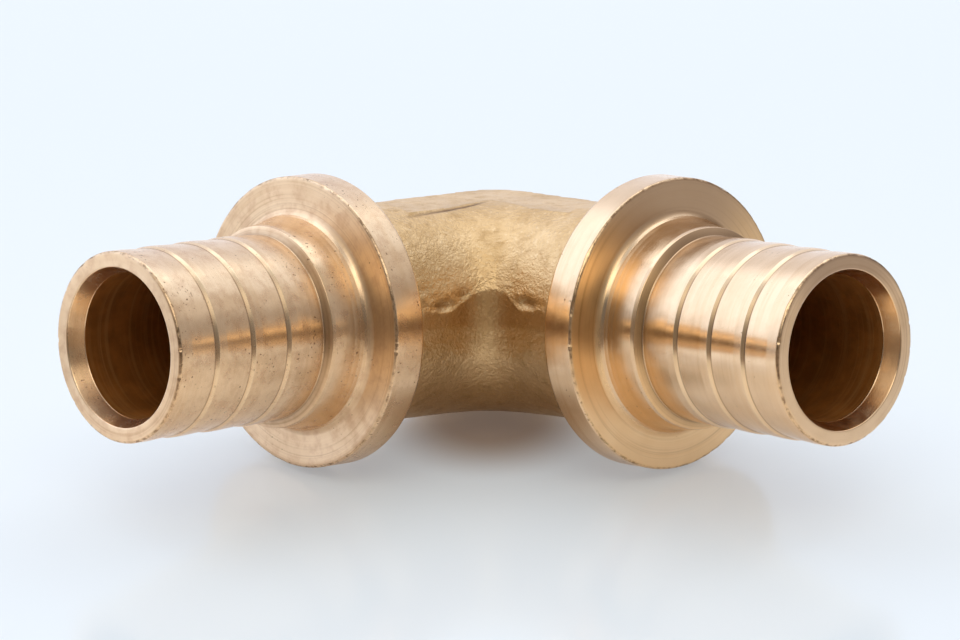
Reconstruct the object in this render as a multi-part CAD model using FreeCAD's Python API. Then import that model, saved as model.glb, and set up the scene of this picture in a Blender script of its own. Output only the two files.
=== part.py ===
"""A forged brass elbow for plastic pipe: two barbed spigots at a right angle, one solid.

The elbow is drawn flat first: the corner where the two leg axes cross is the origin, one leg
runs along +X and the other along +Y. It is then turned so that both open ends face -Y, tipped
back onto the underside of its bend, and set down on the floor at Z = 0, as it lies on a table.
All sizes are in millimetres.
"""
import FreeCAD, Part
import math
import os

# Waterway
bore_radius = 6.5
mouth_widening = 0.55
mouth_depth = 1.8
drill_past = 2.0
drill_point = 118.0

# Pipe end: the barbed spigot that the pipe is pushed over
spigot_length = 20.95
spigot_wall = 2.0
step_height = 0.16
step_slant = 0.5
step_count = 3
rim_pitch = 4.15
crest_length = 0.9
end_land = 4.5
end_crest = 1.4
end_chamfer = 0.15

# Collar between the flange and the first barb
collar_rise = 0.8
collar_length = 3.85
collar_cove = 0.6
collar_waist = 0.35
collar_bevel = 0.35
collar_drop = 0.08
foot_slant = 0.35

# Flange that the pipe and its sleeve stop against
flange_face = 24.05
flange_thickness = 3.4
flange_rise = 3.3
flange_chamfer = 0.2
neck_chamfer = 0.8

# Forged body between the flanges
body_wall = 3.4
crook_radius = 4.7
bend_relief = 0.2

# Flash left round the body at mid height, and how the trimming die leaves it
flash_half_height = 0.9
flash_rise = 0.1
flash_corner = 2.95
flash_stop = 2.2

# Flat field on top, from one leg round the corner to the other
pad_half_width = 3.9
pad_drop = 0.5
pad_length = 13.8

rim_radius = bore_radius + spigot_wall
root_radius = rim_radius - step_height
collar_radius = rim_radius + collar_rise
body_radius = bore_radius + body_wall
flange_radius = body_radius + flange_rise
leg_length = flange_face + spigot_length
flange_back = flange_face - flange_thickness
bend_radius = body_radius - bend_relief + crook_radius
flash_offset = body_radius + flash_rise
flash_reach = flange_back - flash_stop
pad_height = body_radius - pad_drop

X = FreeCAD.Vector(1, 0, 0)
Z = FreeCAD.Vector(0, 0, 1)
origin = FreeCAD.Vector(0, 0, 0)


def unit(vector):
    """The same direction, one long."""
    return FreeCAD.Vector(vector).normalize()


def turned(corners):
    """A turned solid about the X axis from (distance, radius) corners."""
    places = [FreeCAD.Vector(distance, radius, 0) for distance, radius in corners]
    outline = Part.makePolygon(places + places[:1])
    return Part.Face(outline).revolve(origin, X, 360)


def cove(distance, radius, size):
    """Corners of the quarter-round hollow at the foot of the flange, in three straight cuts."""
    turns = [math.radians(degrees) for degrees in (0, 30, 60, 90)]
    return [(distance + size * (1 - math.cos(t)), radius + size * (1 - math.sin(t))) for t in turns]


def spigot_corners():
    """The barbed outline: each land widens towards the open end, runs level and drops at its rim."""
    corners = []
    for i in range(step_count):
        rim = leg_length - end_land - (step_count - 1 - i) * rim_pitch
        corners.append((rim - crest_length, rim_radius))
        corners.append((rim, rim_radius))
        corners.append((rim + step_slant, root_radius))
    corners.append((leg_length - end_crest, rim_radius))
    corners.append((leg_length - end_chamfer, rim_radius))
    corners.append((leg_length, rim_radius - end_chamfer))
    return corners


def leg():
    """One leg along +X: half of the forged body, its flange, collar and spigot."""
    collar_end = flange_face + collar_length
    corners = [
        (0, 0),
        (0, body_radius),
        (flange_back - neck_chamfer, body_radius),
        (flange_back, body_radius + neck_chamfer),
        (flange_back, flange_radius - flange_chamfer),
        (flange_back + flange_chamfer, flange_radius),
        (flange_face - flange_chamfer, flange_radius),
        (flange_face, flange_radius - flange_chamfer),
    ]
    corners += cove(flange_face, collar_radius - collar_waist, collar_cove)
    corners += [
        (collar_end - collar_bevel, collar_radius),
        (collar_end, collar_radius - collar_drop),
        (collar_end + foot_slant, root_radius),
    ]
    corners += spigot_corners()
    corners.append((leg_length, 0))
    return turned(corners)


def waterway():
    """One drilled bore along +X, from its chamfered mouth to the drill point past the corner."""
    point_length = bore_radius / math.tan(math.radians(drill_point / 2))
    return turned([
        (-drill_past - point_length, 0),
        (-drill_past, bore_radius),
        (leg_length - mouth_depth, bore_radius),
        (leg_length, bore_radius + mouth_widening),
        (leg_length + mouth_depth, bore_radius + mouth_widening),
        (leg_length + mouth_depth, 0),
    ])


def inner_bend():
    """The rounded crook: a quarter of a ring, slightly slimmer than the legs that it joins."""
    start = FreeCAD.Vector(bend_radius, 0, 0)
    centre = FreeCAD.Vector(bend_radius, bend_radius, 0)
    circle = Part.Edge(Part.Circle(start, X, body_radius - bend_relief))
    return Part.Face(Part.Wire(circle)).revolve(centre, Z, -90)


def trimmed_outline():
    """The plan of the forged body as the trimming die leaves it, as a flat face at mid height."""
    side = flash_offset
    bend = side + flash_corner
    outer_arc = Part.Arc(
        FreeCAD.Vector(-side, 0, 0),
        FreeCAD.Vector(-side * math.sqrt(0.5), -side * math.sqrt(0.5), 0),
        FreeCAD.Vector(0, -side, 0),
    )
    bow = bend - flash_corner * math.sqrt(0.5)
    crook_arc = Part.Arc(
        FreeCAD.Vector(bend, side, 0),
        FreeCAD.Vector(bow, bow, 0),
        FreeCAD.Vector(side, bend, 0),
    )
    first_leg = Part.makePolygon([
        FreeCAD.Vector(0, -side, 0),
        FreeCAD.Vector(flash_reach, -side, 0),
        FreeCAD.Vector(flash_reach, side, 0),
        FreeCAD.Vector(bend, side, 0),
    ])
    other_leg = Part.makePolygon([
        FreeCAD.Vector(side, bend, 0),
        FreeCAD.Vector(side, flash_reach, 0),
        FreeCAD.Vector(-side, flash_reach, 0),
        FreeCAD.Vector(-side, 0, 0),
    ])
    edges = [outer_arc.toShape()] + first_leg.Edges + [crook_arc.toShape()] + other_leg.Edges
    return Part.Face(Part.Wire(edges))


def slab(outline, half_height):
    """The outline as a slab of even thickness about mid height."""
    low = outline.copy()
    low.translate(Z * -half_height)
    return low.extrude(Z * 2 * half_height)


def trim_waste():
    """What the trimming die cuts off between the flanges: all outside the outline."""
    half_height = body_radius / 2
    edge = flash_offset + flash_reach
    corner = FreeCAD.Vector(-flash_offset, -flash_offset, -half_height)
    block = Part.makeBox(edge, edge, 2 * half_height, corner)
    return block.cut(slab(trimmed_outline(), half_height))


def second_leg(shape):
    """The same shape moved from the leg along +X to the leg along +Y."""
    copy = shape.copy()
    return copy.mirror(origin, unit(FreeCAD.Vector(1, -1, 0)))


def both(shape):
    """The shape on both legs."""
    return [shape, second_leg(shape)]


def flat_field(bottom, top):
    """A block over the flat field, between two heights."""
    corner = FreeCAD.Vector(0, -pad_half_width, bottom)
    strip = Part.makeBox(pad_length, 2 * pad_half_width, top - bottom, corner)
    turn = Part.makeCylinder(pad_half_width, top - bottom, Z * bottom)
    return turn.fuse(both(strip))


def flat_elbow():
    """The whole fitting, drawn flat with its corner at the origin."""
    ball = Part.makeSphere(body_radius)
    flash = slab(trimmed_outline(), flash_half_height)
    body = ball.fuse(both(leg()) + [inner_bend(), flash])
    body = body.cut(trim_waste())
    body = body.fuse(flat_field(body_radius / 2, pad_height))
    body = body.cut(flat_field(pad_height, body_radius + 1))
    body = body.cut(both(waterway()))
    return body.removeSplitter()


def rest_tilt():
    """Degrees that the open ends rise when both flanges and the bend touch the floor."""
    along = flange_back + flange_chamfer
    reach = math.hypot(along, flange_radius)
    leg_rise = math.atan2(flange_radius, along) - math.asin(body_radius / reach)
    return math.degrees(math.asin(math.sin(leg_rise) / math.sqrt(0.5)))


def at_rest(shape):
    """The flat elbow set down: open ends towards -Y and raised, floor at Z = 0."""
    shape = shape.copy()
    shape.rotate(origin, Z, -135)
    shape.rotate(origin, X, -rest_tilt())
    box = shape.optimalBoundingBox(False)
    middle = FreeCAD.Vector((box.XMin + box.XMax) / 2, (box.YMin + box.YMax) / 2, box.ZMin)
    shape.translate(-middle)
    return shape, -middle


os.makedirs("parts", exist_ok=True)
elbow, corner_place = at_rest(flat_elbow())
elbow.Solids[0].exportStep("parts/elbow_body.step")
print("solids", len(elbow.Solids), "valid", elbow.isValid(), "volume", round(elbow.Volume, 1))
print("tilt", round(rest_tilt(), 3), "corner at", [round(c, 4) for c in corner_place])
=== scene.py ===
"""The forged brass elbow as it looks: turned bright spigots and flanges, a sandy forged body.

The whole elbow is one closed mesh. It is made of rings: they run round the forged body, out along the
right leg, in through its bore, round the bend inside, out through the left bore and back along the
left leg. Sizes are in millimetres, in a leg frame whose origin is the corner where the two leg axes
cross, with one leg along +X (the left one in the picture) and the other along +Y. seat() turns that
frame into the row frame, in metres.
"""
import bpy
import math
import numpy as np
from collections import namedtuple
from mathutils import Matrix, Vector, noise


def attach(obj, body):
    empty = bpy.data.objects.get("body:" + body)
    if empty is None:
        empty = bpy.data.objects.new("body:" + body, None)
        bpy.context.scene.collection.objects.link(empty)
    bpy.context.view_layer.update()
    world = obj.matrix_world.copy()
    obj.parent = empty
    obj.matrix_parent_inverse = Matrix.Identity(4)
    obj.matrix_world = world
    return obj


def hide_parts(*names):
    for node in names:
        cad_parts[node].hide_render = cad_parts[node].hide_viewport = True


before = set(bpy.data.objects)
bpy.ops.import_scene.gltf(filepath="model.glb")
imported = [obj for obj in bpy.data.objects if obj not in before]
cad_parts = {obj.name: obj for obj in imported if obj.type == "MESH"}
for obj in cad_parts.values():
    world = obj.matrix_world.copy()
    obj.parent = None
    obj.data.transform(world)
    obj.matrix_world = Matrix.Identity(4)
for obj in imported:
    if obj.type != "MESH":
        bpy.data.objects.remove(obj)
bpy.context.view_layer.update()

# Turned parts: radii, and distances from the corner along a leg
BORE = 6.5
SPIGOT_WALL = 2.0
STEP_HEIGHT = 0.16
COLLAR_RISE = 0.68
BODY_WALL = 3.4
FLANGE_RISE = 3.3
RIM = BORE + SPIGOT_WALL
ROOT = RIM - STEP_HEIGHT
COLLAR = RIM + COLLAR_RISE
BODY = BORE + BODY_WALL
FLANGE = BODY + FLANGE_RISE

FACE = 24.05
FLANGE_THICKNESS = 3.4
COLLAR_LENGTH = 3.85
SPIGOT_LENGTH = 20.95
BACK = FACE - FLANGE_THICKNESS
COLLAR_END = FACE + COLLAR_LENGTH
LEG = FACE + SPIGOT_LENGTH

COLLAR_BEVEL = 0.35
COLLAR_DROP = 0.08
COLLAR_SLANT = 0.35
COVE = (
    # hollow at the foot of the flange: distance from its face, height over the collar
    (0.0, 1.07),
    (0.1, 0.81),
    (0.28, 0.6),
    (0.55, 0.43),
    (0.95, 0.31),
    (1.5, 0.21),
)

END_LAND = 4.5
END_CREST = 1.4
RIM_PITCH = 4.15
CREST = 0.9
STEP_SLANT = 0.4
STEP_RIMS = [LEG - END_LAND - i * RIM_PITCH for i in (2, 1, 0)]

# Open mouth and drilled end of the bore
MOUTH = BORE + 0.63
MOUTH_DEPTH = 1.55
LIP = 0.02
DRILL_PAST = 2.0
DRILL_SLOPE = math.radians(31)

# Roundings of the turned edges
NECK_ROUND = 0.9
FLANGE_ROUND = 0.24
END_ROUND = 0.25
COLLAR_ROUND = 0.3
COLLAR_FOOT_ROUND = 0.16
STEP_FOOT_ROUND = 0.15
RIM_ROUND = 0.06
MOUTH_ROUND = 0.1
NICK_DEPTH = 0.07

# Forged body: the neck behind the flange, the crook and the fillet where they meet
NECK_LENGTH = 2.2
NECK_START = BACK - NECK_LENGTH
NECK_BLEND = 0.8
CROOK_TUBE = BODY - 0.2
CROOK_RADIUS = 4.7
BEND = CROOK_TUBE + CROOK_RADIUS
BODY_FILLET = 0.9

# Flash left at mid height by the trimming die
FLASH_SIDE = BODY + 0.1
FLASH_CORNER = 2.95
FLASH_HALF = 1.0
FLASH_WANDER = 0.22
TRIM_WANDER = 0.02

# Flat field on top, from leg to leg, and the crease along its inner edge on the left leg
PAD_TOP = BODY - 0.5
PAD_BASE = 5.0
PAD_HALF = 3.9
PAD_LENGTH = 13.8
PAD_FILLET = 0.12
CREASE_OFFSET = 0.3
CREASE_BOW = 0.35
CREASE_WANDER = 0.12
CREASE_WIDTH = 0.17
CREASE_DEPTH = 0.12

DENTS = (
    # place on the body, half sizes along X, Y and Z, depth
    ((15.3, 9.8, 1.62), (1.25, 1.2, 0.42), 0.42),
    ((12.9, 9.8, 2.25), (0.62, 1.2, 0.55), 0.22),
    ((9.8, 15.1, 1.85), (1.2, 1.3, 0.48), 0.4),
    ((17.4, 9.6, 3.2), (0.8, 1.0, 0.5), 0.14),
    ((10.3, 12.7, 3.1), (0.8, 0.8, 0.5), 0.1),
)

# Painted shade at the foot of a step, and the painted highlight that brightens its slant
FOOT_SHADE = 0.75
STEP_HIGHLIGHT = -0.45
COLLAR_HIGHLIGHT = 0.0

# How it lies in the row frame
TILT = math.radians(12.3313)
LEG_TURN = math.radians(-135)
CORNER = Vector((0.0, 13.5833, BODY))

# Fineness of the mesh
SEGMENTS = 256
STRAIGHT_RINGS = 13
BEND_RINGS = 98
BORE_RINGS = 26
BORE_JOIN = BEND + 2.0
LONGEST_STEP = 9.0
SUPPORT = 0.07
CLOSER = (
    # angle round a ring and width, in degrees, and how much closer the points are
    (0, 7, 1.2),
    (360, 7, 1.2),
    (113, 11, 0.9),
    (180, 13, 3.0),
)

# Arcs of the right leg start here, so that a material can tell the legs apart
RIGHT_ARC = 100

# Materials by their index on the mesh
ZONES = ("turned", "forged", "bore")

# One ring of the mesh and what the materials are told along it
Ring = namedtuple("Ring", "points arc zone mask grime facing")

to_row = (
    Matrix.Scale(0.001, 4)
    @ Matrix.Translation(CORNER)
    @ Matrix.Rotation(-TILT, 4, "X")
    @ Matrix.Rotation(LEG_TURN, 4, "Z")
)
row_turn = to_row.to_3x3().normalized()


def seat(points):
    """Points of the leg frame, in millimetres, as points of the row frame, in metres."""
    turn = np.array(to_row.to_3x3())
    return points @ turn.T + np.array(to_row.translation)


def soft_min(a, b, blend):
    """The smaller of two fields, with a fillet where they meet."""
    mix = np.clip(0.5 + 0.5 * (b - a) / np.maximum(blend, 1e-6), 0.0, 1.0)
    return b + (a - b) * mix - blend * mix * (1 - mix)


def smooth(value, low, high):
    """0 below low, 1 above high and an even rise between."""
    t = np.clip((value - low) / (high - low), 0.0, 1.0)
    return t * t * (3 - 2 * t)


def bump_at(value, width):
    """1 where the value is 0, falling away on both sides within about the width."""
    return np.exp(-(value / width) ** 2)


def ring_angles():
    """Angles round a ring, closer together at the flash line and at the edge of the flat field."""
    turn = np.linspace(0.0, 2 * math.pi, 20001)
    density = np.ones_like(turn)
    for place, width, weight in CLOSER:
        density += weight * bump_at(np.degrees(turn) - place, width)
    share = np.cumsum(density)
    share = (share - share[0]) / (share[-1] - share[0])
    return np.interp(np.arange(SEGMENTS) / SEGMENTS, share, turn)


ANGLES = ring_angles()


# Outline of one leg

def soften(corners):
    """Points along an outline of (distance, radius, rounding, steps) corners."""
    points = []
    for i, (d, r, rounding, steps) in enumerate(corners):
        here = np.array((d, r))
        if rounding == 0:
            points.append(here)
            continue
        back = np.array(corners[i - 1][:2]) - here
        ahead = np.array(corners[i + 1][:2]) - here
        back /= np.linalg.norm(back)
        ahead /= np.linalg.norm(ahead)
        half = math.acos(float(back @ ahead)) / 2
        reach = rounding / math.tan(half)
        centre = here + (back + ahead) / np.linalg.norm(back + ahead) * rounding / math.sin(half)
        first = here + back * reach - centre
        sweep = math.pi - 2 * half
        side = 1.0 if back[0] * ahead[1] < back[1] * ahead[0] else -1.0
        for step in range(steps + 1):
            turn = side * sweep * step / steps
            c, s = math.cos(turn), math.sin(turn)
            points.append(centre + np.array((c * first[0] - s * first[1], s * first[0] + c * first[1])))
    return points


def refine(points):
    """More points on long runs: a close pair of supports at their ends, and even steps between."""
    fine = [points[0]]
    for start, end in zip(points, points[1:]):
        run = end - start
        length = float(np.linalg.norm(run))
        if length > 4 * SUPPORT:
            middle = length - 2 * SUPPORT
            steps = max(1, math.ceil(middle / LONGEST_STEP))
            for i in range(steps + 1):
                fine.append(start + run * (SUPPORT + middle * i / steps) / length)
        fine.append(end)
    return fine


def leg_outline():
    """(distance, radius) from the forged body out to the end face and back in along the bore."""
    corners = [
        (NECK_START, BODY, 0, 0),
        (BACK, BODY, NECK_ROUND, 4),
        (BACK, FLANGE, FLANGE_ROUND, 2),
        (FACE, FLANGE, FLANGE_ROUND, 3),
    ]
    corners += [(FACE + away, COLLAR + height, 0, 0) for away, height in COVE]
    corners += [
        (COLLAR_END - COLLAR_BEVEL, COLLAR, COLLAR_ROUND, 2),
        (COLLAR_END, COLLAR - COLLAR_DROP, RIM_ROUND, 2),
        (COLLAR_END + COLLAR_SLANT, ROOT, COLLAR_FOOT_ROUND, 3),
    ]
    for rim in STEP_RIMS:
        corners += [
            (rim - CREST, RIM, 0, 0),
            (rim, RIM, RIM_ROUND, 2),
            (rim + STEP_SLANT, ROOT, STEP_FOOT_ROUND, 2),
        ]
    corners += [
        (LEG - END_CREST, RIM, 0, 0),
        (LEG, RIM, END_ROUND, 3),
        (LEG, MOUTH, MOUTH_ROUND, 2),
        (LEG - MOUTH_DEPTH, BORE + LIP, 0, 0),
        (LEG - MOUTH_DEPTH - LIP, BORE, 0, 0),
        (BORE_JOIN, BORE, 0, 0),
    ]
    return refine(soften(corners))


# Shape of the forged body

def with_flat_field(body, x, y, z):
    """The body with the flat field that runs from leg to leg: filled up to its height and cut down."""
    plan = np.minimum(np.maximum(np.hypot(np.minimum(x, 0), y) - PAD_HALF, x - PAD_LENGTH),
                      np.maximum(np.hypot(np.minimum(y, 0), x) - PAD_HALF, y - PAD_LENGTH))
    block = np.maximum(np.maximum(plan, z - PAD_TOP), PAD_BASE - z)
    above = np.maximum(plan, PAD_TOP - z)
    return np.maximum(soft_min(body, block, PAD_FILLET), -above)


def body_field(p):
    """Below zero inside the forged body, above zero outside, before the flash is added."""
    x, y, z = p[..., 0], p[..., 1], p[..., 2]
    leg_x = np.sqrt(np.minimum(x, 0) ** 2 + y * y + z * z) - BODY
    leg_y = np.sqrt(np.minimum(y, 0) ** 2 + x * x + z * z) - BODY
    fillet = BODY_FILLET * smooth(np.minimum(x, y), 0.0, 3.0)
    ring = np.hypot(np.minimum(x, BEND) - BEND, np.minimum(y, BEND) - BEND)
    crook = np.hypot(ring - BEND, z) - CROOK_TUBE
    body = soft_min(soft_min(leg_x, leg_y, fillet), crook, fillet)
    return with_flat_field(body, x, y, z)


def outline_field(p):
    """Below zero inside the outline that the trimming die cuts, at any height."""
    x, y = p[..., 0], p[..., 1]
    inner = FLASH_SIDE + FLASH_CORNER
    crook = FLASH_CORNER - np.hypot(np.maximum(inner - x, 0), np.maximum(inner - y, 0))
    outer = np.hypot(np.minimum(x, 0), np.minimum(y, 0)) - FLASH_SIDE
    return np.maximum(crook, outer)


def bore_field(p):
    """Below zero inside the two drilled bores, above zero in the metal."""
    x, y, z = p[..., 0], p[..., 1], p[..., 2]
    sin, cos, tan = math.sin(DRILL_SLOPE), math.cos(DRILL_SLOPE), math.tan(DRILL_SLOPE)
    fields = []
    for along, across in ((x, y), (y, x)):
        radius = np.hypot(across, z)
        drill = np.maximum(radius - BORE, -DRILL_PAST - along)
        tip = radius * sin - (along + DRILL_PAST + BORE * tan) * cos
        fields.append(np.minimum(drill, np.maximum(tip, radius - BORE)))
    return np.minimum(fields[0], fields[1])


def cast(field, centres, directions, reach):
    """The distance from each centre to the field's wall along each direction, found by halving."""
    low = np.zeros(directions.shape[:-1])
    high = np.full(directions.shape[:-1], reach)
    for _ in range(26):
        middle = (low + high) / 2
        out = field(centres + directions * middle[..., None]) > 0
        high = np.where(out, middle, high)
        low = np.where(out, low, middle)
    return (low + high) / 2


def bend_rings(count):
    """Centres and sideways directions of rings that turn about the upright line at the crook."""
    turns = np.linspace(0.0, math.pi / 2, count)
    cos, sin = np.cos(turns), np.sin(turns)
    reach = BEND / (cos ** 6 + sin ** 6) ** (1 / 6)
    side = np.stack([-sin, -cos, np.zeros(count)], axis=-1)
    centres = np.array((BEND, BEND, 0.0)) + side * reach[:, None]
    return centres, side


def straight_rings(distances, leg):
    """Centres and sideways directions of rings square to one leg."""
    axis, side = ((1, 0, 0), (0, -1, 0)) if leg == 0 else ((0, 1, 0), (-1, 0, 0))
    centres = np.array(distances)[:, None] * np.array(axis, float)
    return centres, np.tile(np.array(side, float), (len(distances), 1))


def ring_directions(sides):
    """Unit directions from each ring's centre: sideways at angle 0, up at a quarter turn."""
    up = np.array((0.0, 0.0, 1.0))
    return sides[:, None, :] * np.cos(ANGLES)[None, :, None] + up * np.sin(ANGLES)[None, :, None]


# Marks of forging and handling

def waves(points, size, seed):
    """Smooth noise at each point, about -1 to 1, with lumps of the given size."""
    flat = points.reshape(-1, 3) / size + seed
    values = [noise.noise(Vector(p)) for p in flat.tolist()]
    return np.array(values).reshape(points.shape[:-1])


def dent_distance(points, place, half):
    """The square of how far each point lies from a dent's middle, as a share of its half sizes."""
    q = (points - np.array(place)) / np.array(half)
    return (q * q).sum(-1)


def on_top(z):
    """1 at the height of the flat field, 0 below it."""
    return smooth(z, 8.0, 8.6)


def crease(points):
    """How dark the painted shade is in the dents, and the painted shadow along one edge of the flat
    field.
    """
    x, y, z = points[..., 0], points[..., 1], points[..., 2]
    wander = CREASE_WANDER * waves(points, size=2.0, seed=91.0)
    bow = CREASE_BOW * smooth(-x, -13.0, -4.0)
    line = bump_at(y - PAD_HALF - CREASE_OFFSET - bow + wander, CREASE_WIDTH)
    line = line * on_top(z) * smooth(x, 4.5, 6.5) * smooth(-x, -17.0, -9.0)
    dark = 0.9 * line
    for place, half, depth in DENTS:
        dark = np.maximum(dark, 0.9 * depth * np.exp(-1.5 * dent_distance(points, place, half)))
    return dark


def forged_marks(points):
    """How far the forged skin stands in or out of the plain form at each point."""
    x, y, z = points[..., 0], points[..., 1], points[..., 2]
    slow = 0.07 * waves(points, size=6.0, seed=3.1)
    lumps = 0.05 * waves(points, size=1.6, seed=11.7)
    knobs = 0.035 * waves(points, size=0.75, seed=23.4)
    rough = bump_at(np.abs(z) - 2.2, 1.5) * smooth(np.minimum(x, y), 4.0, 9.0)
    rise = slow + lumps * (0.5 + 1.3 * rough) + knobs * (0.35 + 1.5 * rough) + 0.05 * rough
    for place, half, depth in DENTS:
        rise = rise - depth * np.exp(-dent_distance(points, place, half))
    return rise - CREASE_DEPTH * crease(points) * on_top(z)


def nicks(points, axis, directions):
    """Edge points knocked back here and there, as handling leaves a turned edge."""
    small = 0.3 * np.maximum(waves(points, size=0.5, seed=41.0) - 0.25, 0)
    large = 0.2 * np.maximum(waves(points, size=1.7, seed=57.0) - 0.4, 0)
    return points - (directions + axis) * np.minimum(small + large, NICK_DEPTH)[:, None]


# Rings of the whole elbow

outline = leg_outline()


def on_edge(d, r, corner_d, corner_r, rounding):
    """1 on the points inside the rounding of an outer edge, 0 at its ends and everywhere else."""
    depth = 0.9 * rounding
    return 1.0 if 0 <= corner_d - d < depth and 0 <= corner_r - r < depth else 0.0


def grime(d, r):
    """How dark the painted shade is at the foot of a step, and below zero where a painted highlight
    brightens the slant.
    """
    feet = [(rim, STEP_SLANT, STEP_HIGHLIGHT) for rim in STEP_RIMS]
    feet.append((COLLAR_END, COLLAR_SLANT, COLLAR_HIGHLIGHT))
    share = 0.0
    for rim, slant, slant_highlight in feet:
        foot = rim + slant
        places = (rim - 0.05, rim, rim + 0.07, foot - 0.12, foot - 0.03, foot + 0.08)
        share += float(np.interp(d, places, (0.0, slant_highlight, slant_highlight, slant_highlight, FOOT_SHADE, 0.0)))
    return share if r > MOUTH + 0.1 else 0.0


def facing(i):
    """1 where the outline runs square to the leg, as on the flange face, and 0 where it runs along."""
    before = outline[max(i - 1, 0)]
    after = outline[min(i + 1, len(outline) - 1)]
    run = np.abs(after - before)
    return float(smooth(run[1] / np.hypot(run[0], run[1]), 0.5, 0.95))


def leg_rings(leg):
    """The rings of one leg, from the forged body out and in along the bore."""
    runs = [np.linalg.norm(after - before) for before, after in zip(outline, outline[1:])]
    arcs = np.concatenate([[0], np.cumsum(runs)]) + RIGHT_ARC * leg
    centres, sides = straight_rings([d for d, r in outline], leg)
    directions = ring_directions(sides)
    axis = np.array((1, 0, 0) if leg == 0 else (0, 1, 0))
    bore_start = LEG - MOUTH_DEPTH - LIP
    rings = []
    for i, (d, r) in enumerate(outline):
        points = centres[i] + directions[i] * r
        edge = on_edge(d, r, FACE, FLANGE, FLANGE_ROUND) + on_edge(d, r, LEG, RIM, END_ROUND)
        if edge > 0:
            points = nicks(points, axis, directions[i])
        zone = "bore" if r < MOUTH and d < bore_start else "turned"
        rings.append(Ring(points, arcs[i], zone, edge, grime(d, r), facing(i)))
    return rings


def body_rings():
    """The rings of the forged body, from the neck of the left leg round to that of the right."""
    straight = np.linspace(NECK_START - 0.28, BEND + 0.3, STRAIGHT_RINGS)
    runs = [straight_rings(straight, 0), bend_rings(BEND_RINGS), straight_rings(straight[::-1], 1)]
    base = np.concatenate([run[0] for run in runs])[:, None, :]
    directions = ring_directions(np.concatenate([run[1] for run in runs]))
    below = smooth(-np.sin(ANGLES), 0.0, 0.1)

    skin = cast(body_field, base, directions, reach=32.0)
    skin = skin + forged_marks(base + directions * skin[..., None])
    trim = cast(outline_field, base, directions, reach=32.0)
    ragged = waves(base + directions * trim[..., None], size=1.2, seed=71.0)
    trim = trim + TRIM_WANDER * (ragged - 1)
    wander = FLASH_WANDER * waves(base + directions * BODY, size=1.5, seed=83.0)
    flash = (FLASH_HALF + wander) / np.maximum(np.abs(np.sin(ANGLES)), 1e-4)
    full = -soft_min(-skin, -np.minimum(flash, trim), 0.05)
    radii = soft_min(full, trim, 0.02 + 0.5 * below)

    points = base + directions * radii[..., None]
    along = np.maximum(points[..., 0], points[..., 1])
    neck = smooth(along, NECK_START - 0.1 - NECK_BLEND, NECK_START - 0.1)
    radii = radii * (1 - neck) + BODY * neck
    points = base + directions * radii[..., None]
    trimmed = smooth(skin - trim, -0.02, 0.05) * (1 - neck) * (1 - below)
    rows = zip(points, trimmed, crease(points))
    return [Ring(ring, 0.0, "forged", share, dark, 0.0) for ring, share, dark in rows]


def bore_rings():
    """The rings of the bend inside, from the right bore round to the left one."""
    centres, sides = bend_rings(BORE_RINGS)
    directions = ring_directions(sides)
    radii = cast(bore_field, centres[:, None, :], directions, reach=24.0)
    points = centres[:, None, :] + directions * radii[..., None]
    return [Ring(ring, 0.0, "bore", 0.0, 0.0, 0.0) for ring in points[::-1]]


loop = body_rings() + leg_rings(1) + bore_rings() + leg_rings(0)[::-1]
ring_count = len(loop)
print("rings", ring_count, "triangles", ring_count * SEGMENTS * 2)

grid = np.array([ring.points for ring in loop])
vertices = seat(grid.reshape(-1, 3))
here = np.arange(ring_count * SEGMENTS).reshape(ring_count, SEGMENTS)
beside = np.roll(here, -1, axis=1)
faces = np.stack([here, beside, np.roll(beside, -1, axis=0), np.roll(here, -1, axis=0)], axis=-1)

mesh = bpy.data.meshes.new("elbow")
mesh.from_pydata(vertices.tolist(), [], faces.reshape(-1, 4).tolist())
mesh.shade_smooth()
elbow = bpy.data.objects.new("elbow", mesh)
bpy.context.scene.collection.objects.link(elbow)

zone_of_ring = np.array([ZONES.index(ring.zone) for ring in loop], np.int32)
mesh.polygons.foreach_set("material_index", np.repeat(zone_of_ring, SEGMENTS))


def add_attribute(name, kind, values):
    """One value or vector per mesh point, for the materials to read."""
    field = "vector" if kind == "FLOAT_VECTOR" else "value"
    mesh.attributes.new(name, kind, "POINT").data.foreach_set(field, values.ravel())


arc = np.repeat([ring.arc for ring in loop], SEGMENTS)
turn = np.stack([arc, np.tile(np.cos(ANGLES), ring_count), np.tile(np.sin(ANGLES), ring_count)], axis=-1)
add_attribute("turn", "FLOAT_VECTOR", turn)
groove = np.roll(grid, -1, axis=1) - np.roll(grid, 1, axis=1)
groove /= np.linalg.norm(groove, axis=-1, keepdims=True)
add_attribute("groove", "FLOAT_VECTOR", groove.reshape(-1, 3) @ np.array(row_turn).T)
for name in ("mask", "grime", "facing"):
    shares = [np.broadcast_to(getattr(ring, name), SEGMENTS) for ring in loop]
    add_attribute(name, "FLOAT", np.concatenate(shares))


# Materials

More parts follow.
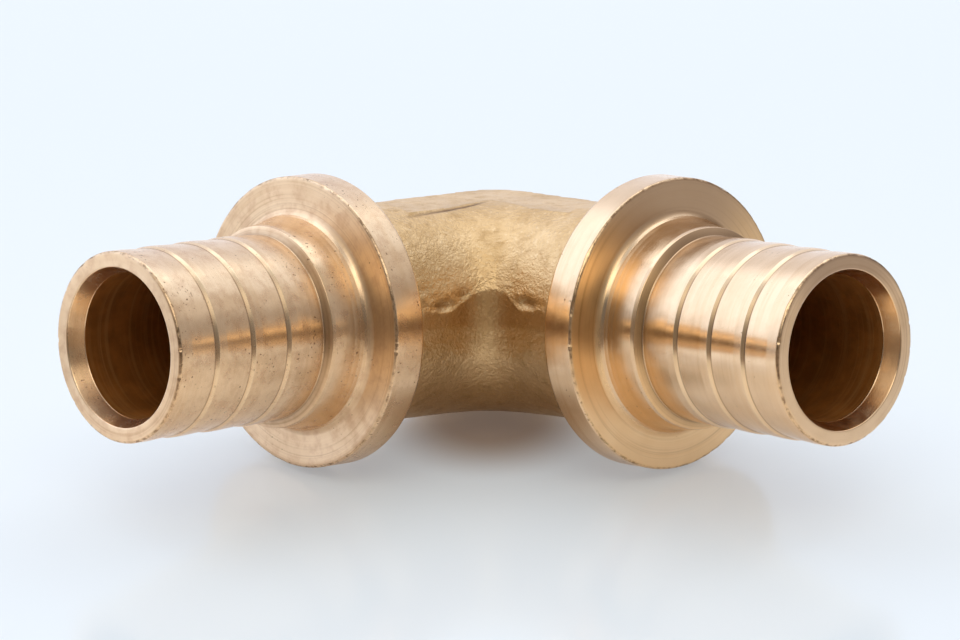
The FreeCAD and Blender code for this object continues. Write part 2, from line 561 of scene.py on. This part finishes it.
class Nodes:
    """Short names for the nodes of one material."""

    def __init__(self, tree):
        self.tree = tree

    def add(self, kind, **values):
        node = self.tree.nodes.new(kind)
        for name, value in values.items():
            setattr(node, name, value)
        return node

    def feed(self, socket, value):
        """Link another node's output into a socket, or set a plain value on it."""
        if isinstance(value, bpy.types.NodeSocket):
            self.tree.links.new(value, socket)
        else:
            socket.default_value = value

    def attribute(self, name, output="Fac"):
        """What the mesh stores under a name."""
        return self.add("ShaderNodeAttribute", attribute_name=name).outputs[output]

    def math(self, operation, first, second=0.0, third=0.0, clamp=False):
        node = self.add("ShaderNodeMath", operation=operation, use_clamp=clamp)
        for socket, value in zip(node.inputs, (first, second, third)):
            self.feed(socket, value)
        return node.outputs[0]

    def plus(self, first, second):
        return self.math("ADD", first, second)

    def minus(self, first, second):
        return self.math("SUBTRACT", first, second)

    def times(self, first, second, clamp=False):
        return self.math("MULTIPLY", first, second, clamp=clamp)

    def vector(self, operation, first, second, output="Vector"):
        node = self.add("ShaderNodeVectorMath", operation=operation)
        self.feed(node.inputs[0], first)
        self.feed(node.inputs[1], second)
        return node.outputs[output]

    def stretch(self, where, scale):
        return self.vector("MULTIPLY", where, scale)

    def split(self, where):
        """The three parts of a vector."""
        node = self.add("ShaderNodeSeparateXYZ")
        self.feed(node.inputs[0], where)
        return list(node.outputs)

    def noise(self, where, scale, detail, roughness):
        """Soft noise from 0 to 1, with more lumps to the unit at a higher scale."""
        node = self.add("ShaderNodeTexNoise")
        self.feed(node.inputs["Vector"], where)
        for name, value in (("Scale", scale), ("Detail", detail), ("Roughness", roughness)):
            node.inputs[name].default_value = value
        return node.outputs["Fac"]

    def band(self, value, low, high, out_low=0.0, out_high=1.0):
        """An even rise from out_low where the value is low to out_high where it is high."""
        node = self.add("ShaderNodeMapRange", interpolation_type="SMOOTHSTEP")
        self.feed(node.inputs["Value"], value)
        ranges = (("From Min", low), ("From Max", high), ("To Min", out_low), ("To Max", out_high))
        for name, number in ranges:
            node.inputs[name].default_value = number
        return node.outputs["Result"]

    def mix(self, amount, first, second):
        """The first colour at amount 0, the second at 1."""
        node = self.add("ShaderNodeMix", data_type="RGBA")
        self.feed(node.inputs[0], amount)
        self.feed(node.inputs[6], first)
        self.feed(node.inputs[7], second)
        return node.outputs[2]

    def bump(self, height, strength, distance):
        """The surface direction over fine unevenness, whose depth is given in metres."""
        node = self.add("ShaderNodeBump")
        node.inputs["Strength"].default_value = strength
        node.inputs["Distance"].default_value = distance
        self.feed(node.inputs["Height"], height)
        return node.outputs["Normal"]


def new_material(name):
    """An empty material with a principled shader."""
    material = bpy.data.materials.new(name)
    material.use_nodes = True
    tree = material.node_tree
    tree.nodes.clear()
    nodes = Nodes(tree)
    shader = nodes.add("ShaderNodeBsdfPrincipled")
    output = nodes.add("ShaderNodeOutputMaterial")
    tree.links.new(shader.outputs[0], output.inputs["Surface"])
    return material, nodes, shader


def rgb(red, green, blue):
    """A colour given as screen values from 0 to 255."""
    def linear(value):
        value /= 255
        return value / 12.92 if value <= 0.04045 else ((value + 0.055) / 1.055) ** 2.4
    return (linear(red), linear(green), linear(blue), 1.0)


# Turned brass
BRIGHT = rgb(242, 215, 179)
BRIGHT_WARM = rgb(233, 205, 168)
RING_BROWN = rgb(208, 168, 120)
DULL = rgb(200, 162, 128)
# Painted reflection: gold tint for the right flange face
GOLDEN_REFLECTION = rgb(255, 212, 146)
SCORE_BROWN = rgb(168, 130, 92)
# Painted shade: greyer tone for the upper turned faces
GREY_SHADE = rgb(176, 150, 126)
PIT_BROWN = rgb(96, 60, 34)
# Painted highlight for the step slants
PAINTED_HIGHLIGHT = rgb(255, 236, 200)
# Painted shade at the step feet, also the colour of the real edge bites
SHADE_AND_BITE_BROWN = rgb(100, 68, 44)

# Forged brass
SANDY = rgb(229, 199, 152)
SANDY_WARM = rgb(212, 180, 131)
MOTTLE_BROWN = rgb(172, 138, 91)
GRAIN_BRIGHT = rgb(248, 224, 182)
# Painted shade for the trimmed band
TRIMMED_SHADE = rgb(178, 138, 88)
# Painted shade in the dents and painted shadow along the crease
PAINTED_SHADE_BROWN = rgb(104, 76, 62)

# Bore
BORE_BROWN = rgb(190, 126, 60)
BORE_DARK = rgb(158, 102, 46)
BORE_MARK = rgb(206, 156, 96)

# Table top, as the camera sees it and as it shows in the metal
TABLE = rgb(202, 213, 217)
TABLE_IN_METAL = rgb(236, 240, 246)
# Painted shade on the table in the metal, to the right
TABLE_RIGHT_SHADED = rgb(168, 162, 156)
TABLE_BEFORE = rgb(250, 240, 224)
# Painted shade on the table in the metal, a little way off
TABLE_BEYOND_SHADED = rgb(146, 124, 102)
# Painted shadow on the table beneath the elbow, as the camera sees it and in the metal
TABLE_SHADOW = rgb(140, 118, 88)
GLOW_NEAR = rgb(138, 143, 150)
GLOW_FAR = rgb(124, 131, 138)
# Glow of the painted shadow beneath the elbow
GLOW_SHADOW = rgb(84, 66, 52)


def millimetres(nodes):
    """The place on the elbow, in millimetres."""
    return nodes.stretch(nodes.add("ShaderNodeTexCoord").outputs["Object"], (1000, 1000, 1000))


def turned_brass():
    """Bright brass off the lathe: fine rings that blur reflections along the leg, pits and stains."""
    material, nodes, shader = new_material("turned_brass")
    turn_at = nodes.attribute("turn", "Vector")
    groove_at = nodes.attribute("groove", "Vector")
    edge_at = nodes.attribute("mask")
    painted_light_at = nodes.attribute("grime")
    facing_at = nodes.attribute("facing")
    where = millimetres(nodes)
    arc, _, up = nodes.split(turn_at)
    # The left leg is more worn than the right one
    worn = nodes.band(arc, RIGHT_ARC - 10, RIGHT_ARC - 40)

    rings_fine = nodes.noise(nodes.stretch(turn_at, (6.0, 0.5, 0.5)), 1.0, 2.0, 0.6)
    rings_wide = nodes.noise(nodes.stretch(turn_at, (1.3, 0.4, 0.4)), 1.0, 3.0, 0.6)
    scores = nodes.noise(nodes.stretch(turn_at, (3.5, 0.25, 0.25)), 1.0, 3.0, 0.7)
    stains = nodes.noise(where, 0.22, 4.0, 0.6)
    smears = nodes.noise(where, 0.8, 5.0, 0.65)
    clusters = nodes.band(nodes.noise(where, 0.25, 2.0, 0.5), 0.35, 0.7, 0.0, 0.11)
    specks = nodes.plus(nodes.noise(where, 4.0, 1.0, 0.4), clusters)
    specks = nodes.minus(specks, nodes.times(facing_at, 0.06))
    speck_size = nodes.minus(0.83, nodes.times(worn, 0.05))
    pits = nodes.times(nodes.minus(specks, speck_size), 18.0, clamp=True)
    bites = nodes.times(edge_at, nodes.band(nodes.noise(where, 1.5, 4.0, 0.75), 0.46, 0.62, 0.12, 0.9))

    tone = nodes.mix(nodes.band(stains, 0.35, 0.68), BRIGHT, BRIGHT_WARM)
    tone = nodes.mix(nodes.times(nodes.band(rings_wide, 0.4, 0.75), 0.3), tone, RING_BROWN)
    dull = nodes.times(nodes.band(smears, 0.42, 0.7), nodes.times(worn, 0.4))
    tone = nodes.mix(dull, tone, DULL)
    # Painted reflection: a gold tint on the right flange face, as brass mirrored in brass
    on_right = nodes.band(arc, RIGHT_ARC, RIGHT_ARC + 3)
    on_flange = nodes.band(arc, RIGHT_ARC + 24, RIGHT_ARC + 20, 0.0, 0.45)
    golden_reflection = nodes.times(nodes.times(facing_at, on_right), on_flange)
    tone = nodes.mix(golden_reflection, tone, GOLDEN_REFLECTION)
    scored = nodes.times(nodes.band(scores, 0.5, 0.7, 0.0, 0.35), facing_at)
    tone = nodes.mix(scored, tone, SCORE_BROWN)
    # Painted shade: the upper part of the turned faces on the right leg is greyer
    upper = nodes.times(facing_at, nodes.band(up, 0.5, 0.95, 0.0, 0.75))
    top_shade = nodes.times(upper, nodes.minus(1.0, worn))
    tone = nodes.mix(top_shade, tone, GREY_SHADE)
    tone = nodes.mix(nodes.times(pits, 0.8), tone, PIT_BROWN)
    # Painted highlight on the slants of the steps
    slant_highlight = nodes.times(painted_light_at, -0.8, clamp=True)
    tone = nodes.mix(slant_highlight, tone, PAINTED_HIGHLIGHT)
    # Painted shade at the feet of the steps, with the real dark bites in the nicked edges
    shade_and_bites = nodes.math("MAXIMUM", nodes.times(painted_light_at, 0.8), nodes.times(bites, 0.75))
    tone = nodes.mix(shade_and_bites, tone, SHADE_AND_BITE_BROWN)
    nodes.feed(shader.inputs["Base Color"], tone)
    shader.inputs["Metallic"].default_value = 1.0

    rough = nodes.plus(nodes.band(smears, 0.35, 0.7, 0.17, 0.24), nodes.times(worn, 0.05))
    nodes.feed(shader.inputs["Roughness"], nodes.plus(rough, nodes.times(facing_at, 0.13)))
    shader.inputs["Anisotropic"].default_value = 0.62
    outward = nodes.add("ShaderNodeNewGeometry").outputs["Normal"]
    nodes.feed(shader.inputs["Tangent"], nodes.vector("CROSS_PRODUCT", groove_at, outward))
    height = nodes.plus(nodes.times(rings_fine, 0.5), nodes.times(pits, -1.2))
    height = nodes.plus(height, nodes.times(smears, 0.4))
    nodes.feed(shader.inputs["Normal"], nodes.bump(height, 0.25, 0.00002))
    return material


def forged_brass():
    """The sandy skin of the forging, and the smoother band where the flash was trimmed off."""
    material, nodes, shader = new_material("forged_brass")
    trimmed_at = nodes.attribute("mask")
    painted_shade_at = nodes.attribute("grime")
    where = millimetres(nodes)
    patches = nodes.noise(where, 0.16, 4.0, 0.6)
    mottle = nodes.noise(where, 0.8, 4.0, 0.6)
    grain = nodes.noise(where, 2.6, 2.0, 0.5)
    fine = nodes.noise(where, 4.6, 2.0, 0.6)
    tone = nodes.mix(nodes.band(patches, 0.35, 0.65), SANDY, SANDY_WARM)
    tone = nodes.mix(nodes.times(nodes.band(mottle, 0.5, 0.75), 0.4), tone, MOTTLE_BROWN)
    tone = nodes.mix(nodes.times(nodes.band(grain, 0.56, 0.72), 0.35), tone, GRAIN_BRIGHT)
    # Painted shade: the trimmed band, which faces sideways beneath the flash ledge, is darker brown
    tone = nodes.mix(nodes.times(trimmed_at, 0.4), tone, TRIMMED_SHADE)
    # Painted shade in the dents and painted shadow along the crease of the flat field
    tone = nodes.mix(painted_shade_at, tone, PAINTED_SHADE_BROWN)
    nodes.feed(shader.inputs["Base Color"], tone)
    shader.inputs["Metallic"].default_value = 1.0
    nodes.feed(shader.inputs["Roughness"], nodes.band(mottle, 0.3, 0.75, 0.36, 0.5))
    height = nodes.plus(nodes.plus(grain, nodes.times(fine, 0.9)), mottle)
    height = nodes.times(height, nodes.minus(1.0, nodes.times(trimmed_at, 0.3)))
    nodes.feed(shader.inputs["Normal"], nodes.bump(height, 0.7, 0.00012))
    return material


def bore_brass():
    """The drilled bore: turned brass with coarse marks beneath a brown coat."""
    material, nodes, shader = new_material("bore_brass")
    turn_at = nodes.attribute("turn", "Vector")
    marks = nodes.noise(nodes.stretch(turn_at, (2.4, 0.3, 0.3)), 1.0, 3.0, 0.7)
    stains = nodes.noise(millimetres(nodes), 0.4, 4.0, 0.6)
    tone = nodes.mix(nodes.band(stains, 0.3, 0.7), BORE_BROWN, BORE_DARK)
    tone = nodes.mix(nodes.times(nodes.band(marks, 0.45, 0.7), 0.5), tone, BORE_MARK)
    nodes.feed(shader.inputs["Base Color"], tone)
    shader.inputs["Metallic"].default_value = 0.5
    shader.inputs["Roughness"].default_value = 0.32
    nodes.feed(shader.inputs["Normal"], nodes.bump(marks, 0.4, 0.00005))
    return material


for material in (turned_brass(), forged_brass(), bore_brass()):
    mesh.materials.append(material)

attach(elbow, "root")
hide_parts("elbow_body")


# Floor, light and camera

FLOOR_HALF = 1.5

# Painted shadow: a dark patch on the table beneath the elbow, in metres: how far back its middle is seen
# and mirrored, and the half sizes across and along the camera's way
UNDER_SEEN = 0.008
UNDER_MIRRORED = -0.002
UNDER_ACROSS = 1 / 125
UNDER_ALONG = 1 / 95

LAMP_DISTANCE = 0.9
LAMP_AIM = Vector((0, 0, 0.013))
LAMP_COLOUR = (0.98, 1.0, 1.04)

FOCAL_PIXELS = 5812.6
PICTURE_WIDTH = 960
SENSOR_WIDTH = 36.0
CAMERA_FROM_CORNER = Vector((17.5102, -504.0688, 191.835))
CAMERA_YAW = math.radians(227.008)
CAMERA_PITCH = math.radians(8.7437)
CAMERA_ROLL = math.radians(-0.105)

# Radiance of the room, low down and high up, and of the backdrop
FRONT_LOW = (0.22, 0.175, 0.14, 1)
FRONT_HIGH = (0.84, 0.75, 0.65, 1)
SIDE_LOW = (0.46, 0.42, 0.41, 1)
SIDE_HIGH = (0.64, 0.59, 0.54, 1)
BACKDROP = (0.93, 0.93, 1.04, 1)
OVERHEAD = (0.7, 0.69, 0.71, 1)

# Soft round patches in the room: azimuth, elevation, radius of the even part and of the whole in
# degrees, radiance
FRONT_PATCHES = (
    (270, 58, 12, 28, (2.0, 1.84, 1.6, 1)),
    (239, 26, 9, 17, (0.15, 0.15, 0.16, 1)),
    (301, 26, 9, 17, (0.15, 0.15, 0.16, 1)),
)
SIDE_PATCH = (24, 30, 6, 20, (0.76, 0.71, 0.7, 1))
BACKDROP_PATCHES = (
    (152, 26, 16, 38, (1.4, 1.48, 1.72, 1)),
    (48, 40, 8, 24, (1.1, 1.13, 1.24, 1)),
)


def direction(azimuth, elevation):
    """The unit vector towards an azimuth and elevation in degrees."""
    az, el = math.radians(azimuth), math.radians(elevation)
    return Vector((math.cos(el) * math.cos(az), math.cos(el) * math.sin(az), math.sin(el)))


def make_floor():
    """A pale, slightly glossy table top. In reflections it is warmer just in front, with painted shade a
    little way off and to the right.
    """
    floor_mesh = bpy.data.meshes.new("floor")
    places = [(x * FLOOR_HALF, y * FLOOR_HALF, 0) for x, y in ((-1, -1), (1, -1), (1, 1), (-1, 1))]
    floor_mesh.from_pydata(places, [], [(0, 1, 2, 3)])
    floor = bpy.data.objects.new("floor", floor_mesh)
    bpy.context.scene.collection.objects.link(floor)
    material, nodes, shader = new_material("table_top")
    x, y, _ = nodes.split(nodes.add("ShaderNodeTexCoord").outputs["Object"])
    light_path = nodes.add("ShaderNodeLightPath")
    seen = light_path.outputs["Is Camera Ray"]
    glossy = light_path.outputs["Is Glossy Ray"]

    before = nodes.times(glossy, nodes.band(y, 0.0, -0.04))
    # Painted shade on the table as the metal shows it: darker a little way off and to the right
    beyond = nodes.times(glossy, nodes.band(y, -0.06, -0.12))
    right = nodes.times(glossy, nodes.band(x, 0.06, 0.14))
    shift = nodes.math("MULTIPLY_ADD", seen, UNDER_MIRRORED - UNDER_SEEN, -UNDER_MIRRORED)
    along = nodes.times(nodes.plus(y, shift), 1 / UNDER_ALONG)
    across = nodes.times(x, 1 / UNDER_ACROSS)
    reach = nodes.plus(nodes.times(along, along), nodes.times(across, across))
    # Painted shadow on the table beneath the elbow, for the camera and in the metal
    painted_shadow = nodes.band(nodes.math("SQRT", reach), 1.5, 0.5, 0.0, 0.85)

    plain = nodes.mix(seen, TABLE_IN_METAL, TABLE)
    plain = nodes.mix(right, plain, TABLE_RIGHT_SHADED)
    plain = nodes.mix(before, plain, TABLE_BEFORE)
    plain = nodes.mix(beyond, plain, TABLE_BEYOND_SHADED)
    nodes.feed(shader.inputs["Base Color"], nodes.mix(painted_shadow, plain, TABLE_SHADOW))
    glow = nodes.mix(nodes.band(y, -0.05, 0.12), GLOW_NEAR, GLOW_FAR)
    nodes.feed(shader.inputs["Emission Color"], nodes.mix(painted_shadow, glow, GLOW_SHADOW))
    mirrored = nodes.times(glossy, nodes.minus(0.64, nodes.times(before, 0.5)))
    nodes.feed(shader.inputs["Emission Strength"], nodes.plus(seen, mirrored))
    shader.inputs["Roughness"].default_value = 0.16
    floor_mesh.materials.append(material)
    return floor


def soft_box(name, azimuth, elevation, width, height, radiance):
    """A soft box by where it stands as seen from the elbow. All the angles are in degrees."""
    way = direction(azimuth, elevation)
    lamp = bpy.data.lights.new(name, "AREA")
    lamp.shape = "RECTANGLE"
    lamp.size = 2 * LAMP_DISTANCE * math.tan(math.radians(width / 2))
    lamp.size_y = 2 * LAMP_DISTANCE * math.tan(math.radians(height / 2))
    lamp.energy = radiance * lamp.size * lamp.size_y * math.pi
    lamp.color = LAMP_COLOUR
    holder = bpy.data.objects.new(name, lamp)
    holder.location = LAMP_AIM + way * LAMP_DISTANCE
    holder.rotation_euler = (-way).to_track_quat("-Z", "Y").to_euler()
    bpy.context.scene.collection.objects.link(holder)


def make_world():
    """A bright backdrop from the left round to the right behind, a dark warm room in front."""
    world = bpy.data.worlds.new("studio")
    bpy.context.scene.world = world
    world.use_nodes = True
    nodes = Nodes(world.node_tree)
    background = world.node_tree.nodes["Background"]
    way = nodes.add("ShaderNodeTexCoord").outputs["Generated"]
    x, y, z = nodes.split(way)

    def off(azimuth):
        """How many degrees a direction lies off an azimuth, either way."""
        cos, sin = math.cos(math.radians(azimuth)), math.sin(math.radians(azimuth))
        ahead = nodes.plus(nodes.times(x, cos), nodes.times(y, sin))
        aside = nodes.minus(nodes.times(y, cos), nodes.times(x, sin))
        return nodes.math("ABSOLUTE", nodes.math("DEGREES", nodes.math("ARCTAN2", aside, ahead)))

    def with_patch(colour, azimuth, elevation, inner, outer, radiance):
        """The colour with a soft round patch in one direction."""
        nearness = nodes.vector("DOT_PRODUCT", way, direction(azimuth, elevation), "Value")
        edges = math.cos(math.radians(outer)), math.cos(math.radians(inner))
        return nodes.mix(nodes.band(nearness, *edges), colour, radiance)

    height = nodes.math("DEGREES", nodes.math("ARCSINE", z))
    front = nodes.mix(nodes.band(height, 13, 50), FRONT_LOW, FRONT_HIGH)
    for patch in FRONT_PATCHES:
        front = with_patch(front, *patch)
    side = nodes.mix(nodes.band(height, 25, 60), SIDE_LOW, SIDE_HIGH)
    colour = nodes.mix(nodes.band(off(0), 42, 24), front, side)
    colour = with_patch(colour, *SIDE_PATCH)
    colour = nodes.mix(nodes.band(off(122), 80, 56), colour, BACKDROP)
    for patch in BACKDROP_PATCHES:
        colour = with_patch(colour, *patch)
    colour = nodes.mix(nodes.band(height, 56, 75), colour, OVERHEAD)
    nodes.feed(background.inputs["Color"], colour)


def make_camera():
    """The camera at the picture's viewing angle. Its turns are given in the leg frame."""
    camera_data = bpy.data.cameras.new("camera")
    camera_data.sensor_width = SENSOR_WIDTH
    camera_data.lens = FOCAL_PIXELS * SENSOR_WIDTH / PICTURE_WIDTH
    camera_data.clip_start = 0.01
    camera = bpy.data.objects.new("camera", camera_data)
    camera.location = (CORNER + CAMERA_FROM_CORNER) / 1000
    forward = row_turn @ Vector((
        math.cos(CAMERA_PITCH) * math.cos(CAMERA_YAW),
        math.cos(CAMERA_PITCH) * math.sin(CAMERA_YAW),
        -math.sin(CAMERA_PITCH),
    ))
    level = forward.cross(row_turn @ Vector((0, 0, 1))).normalized()
    upright = level.cross(forward)
    across = level * math.cos(CAMERA_ROLL) + upright * math.sin(CAMERA_ROLL)
    upward = upright * math.cos(CAMERA_ROLL) - level * math.sin(CAMERA_ROLL)
    camera.rotation_euler = Matrix((across, upward, -forward)).transposed().to_euler()
    bpy.context.scene.collection.objects.link(camera)
    bpy.context.scene.camera = camera


make_floor()
soft_box("top_box", azimuth=95, elevation=68, width=60, height=36, radiance=0.75)
make_world()
make_camera()
bpy.context.scene.view_settings.view_transform = "Standard"
